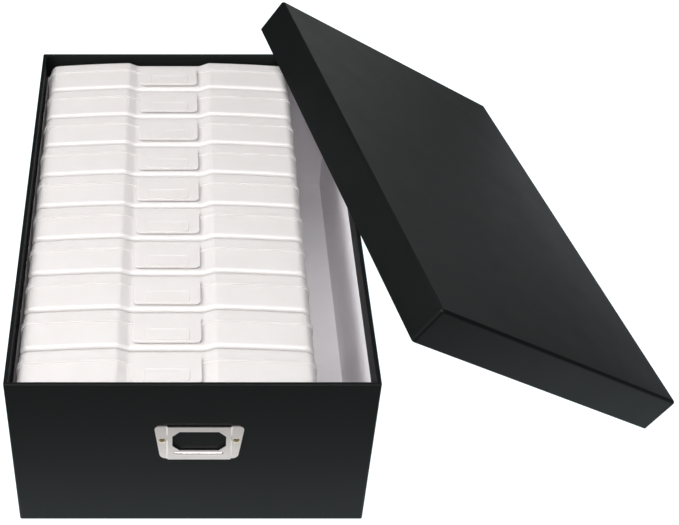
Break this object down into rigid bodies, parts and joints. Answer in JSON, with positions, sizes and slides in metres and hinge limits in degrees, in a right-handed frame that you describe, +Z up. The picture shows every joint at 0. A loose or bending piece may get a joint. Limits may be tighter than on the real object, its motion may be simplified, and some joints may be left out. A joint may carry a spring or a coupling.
{
  "type": "archival box",
  "caption": "Paper-covered storage box with its lift-off lid leaning on one side, a metal label holder, and translucent photo cases standing on edge inside.",
  "frame": {"origin": "centre of the body's underside", "axes": "+Z up, -Y out of the end with the label holder, +X towards the side where the lid leans"},
  "size_m": [0.3964, 0.3703, 0.141],
  "materials": {
    "greyboard": "raw grey millboard",
    "stay_paper": "brown gummed tape",
    "black_paper": "fine embossed cover paper with a low sheen",
    "white_lining": "smooth uncoated white paper",
    "holder_metal": "satin nickel plate",
    "rivet_metal": "nickel-washed brass",
    "case_plastic": "translucent frosted polypropylene"
  },
  "bodies": {
    "body": {"body_board": "greyboard", "body_corner_stays": "stay_paper", "body_wrap": "black_paper", "base_paper": "black_paper", "body_lining": "white_lining", "label_holder": "holder_metal", "label_rivet_left": "rivet_metal", "label_rivet_right": "rivet_metal"},
    "lid": {"lid_board": "greyboard", "lid_corner_stays": "stay_paper", "lid_wrap": "black_paper", "lid_lining": "white_lining"},
    "case_01": {"case_01_base": "case_plastic", "case_01_lid": "case_plastic"},
    "case_02": {"case_02_base": "case_plastic", "case_02_lid": "case_plastic"},
    "case_03": {"case_03_base": "case_plastic", "case_03_lid": "case_plastic"},
    "case_04": {"case_04_base": "case_plastic", "case_04_lid": "case_plastic"},
    "case_05": {"case_05_base": "case_plastic", "case_05_lid": "case_plastic"},
    "case_06": {"case_06_base": "case_plastic", "case_06_lid": "case_plastic"},
    "case_07": {"case_07_base": "case_plastic", "case_07_lid": "case_plastic"},
    "case_08": {"case_08_base": "case_plastic", "case_08_lid": "case_plastic"},
    "case_09": {"case_09_base": "case_plastic", "case_09_lid": "case_plastic"},
    "case_10": {"case_10_base": "case_plastic", "case_10_lid": "case_plastic"}
  },
  "joints": [
    {"name": "lid_lift", "type": "slide", "parent": "body", "child": "lid", "axis": [0, 0, 1], "range_m": [0, 0.15]},
    {"name": "case_01_lift", "type": "slide", "parent": "body", "child": "case_01", "axis": [0, 0, 1], "range_m": [0, 0.12]},
    {"name": "case_02_lift", "type": "slide", "parent": "body", "child": "case_02", "axis": [0, 0, 1], "range_m": [0, 0.12]},
    {"name": "case_03_lift", "type": "slide", "parent": "body", "child": "case_03", "axis": [0, 0, 1], "range_m": [0, 0.12]},
    {"name": "case_04_lift", "type": "slide", "parent": "body", "child": "case_04", "axis": [0, 0, 1], "range_m": [0, 0.12]},
    {"name": "case_05_lift", "type": "slide", "parent": "body", "child": "case_05", "axis": [0, 0, 1], "range_m": [0, 0.12]},
    {"name": "case_06_lift", "type": "slide", "parent": "body", "child": "case_06", "axis": [0, 0, 1], "range_m": [0, 0.12]},
    {"name": "case_07_lift", "type": "slide", "parent": "body", "child": "case_07", "axis": [0, 0, 1], "range_m": [0, 0.12]},
    {"name": "case_08_lift", "type": "slide", "parent": "body", "child": "case_08", "axis": [0, 0, 1], "range_m": [0, 0.12]},
    {"name": "case_09_lift", "type": "slide", "parent": "body", "child": "case_09", "axis": [0, 0, 1], "range_m": [0, 0.005]},
    {"name": "case_10_lift", "type": "slide", "parent": "body", "child": "case_10", "axis": [0, 0, 1], "range_m": [0, 0.005]}
  ]
}
